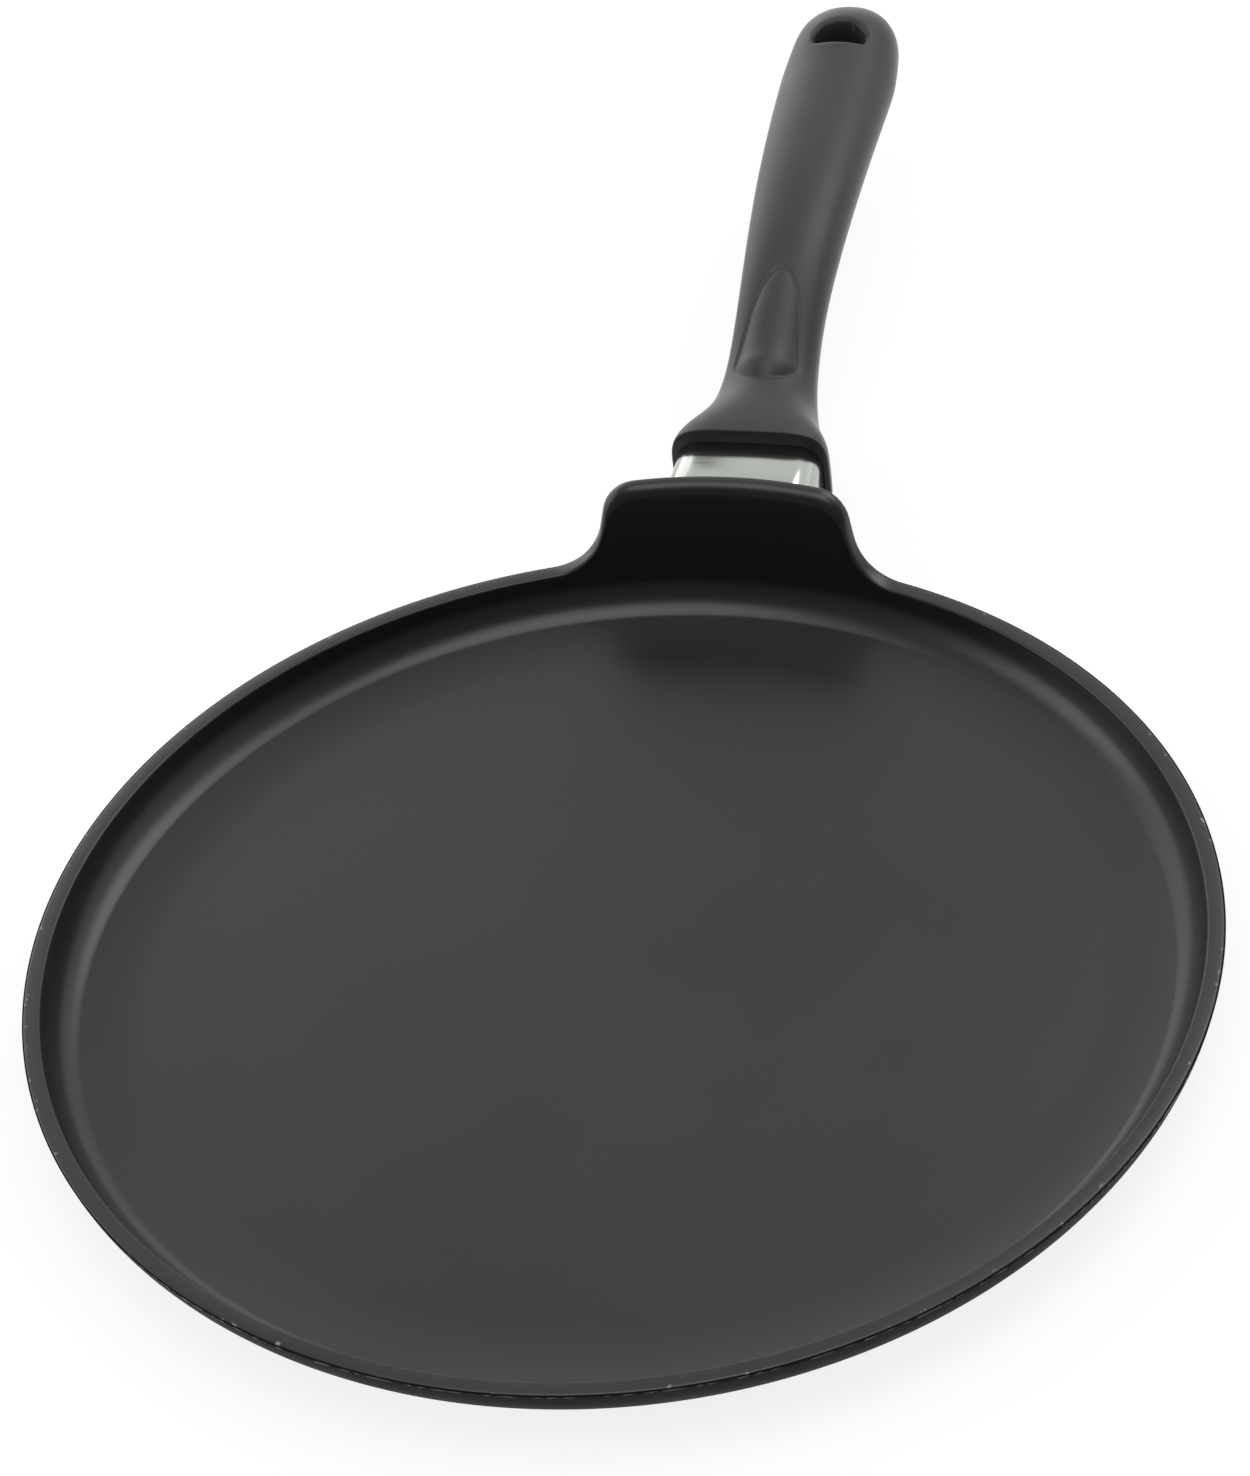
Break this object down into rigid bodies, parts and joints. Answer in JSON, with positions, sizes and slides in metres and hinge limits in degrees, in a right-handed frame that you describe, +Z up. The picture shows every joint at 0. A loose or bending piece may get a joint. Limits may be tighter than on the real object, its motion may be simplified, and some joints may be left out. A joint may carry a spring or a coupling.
{
  "type": "crepe pan",
  "caption": "Shallow round crepe pan with a low leaning rim, a raised collar, a steel flame guard sleeve and a long arched grip with a hanging hole.",
  "frame": {"origin": "middle of the flat base, on the table", "axes": "+Z up, +Y along the handle, from the dish to the tip of the grip, +X to the right of the handle"},
  "size_m": [0.2796, 0.4819, 0.058],
  "materials": {
    "pan_coating": "cast aluminium under a satin non-stick coating, dark charcoal",
    "steel_sleeve": "brushed across, satin",
    "soft_grip": "soft-touch, dark grey",
    "zinc_steel": "bright zinc plate"
  },
  "bodies": {
    "root": {"pan_body": "pan_coating", "flame_guard": "steel_sleeve", "handle_grip": "soft_grip", "fixing_screw": "zinc_steel", "plain_washer": "zinc_steel", "lock_washer": "zinc_steel"}
  },
  "joints": []
}
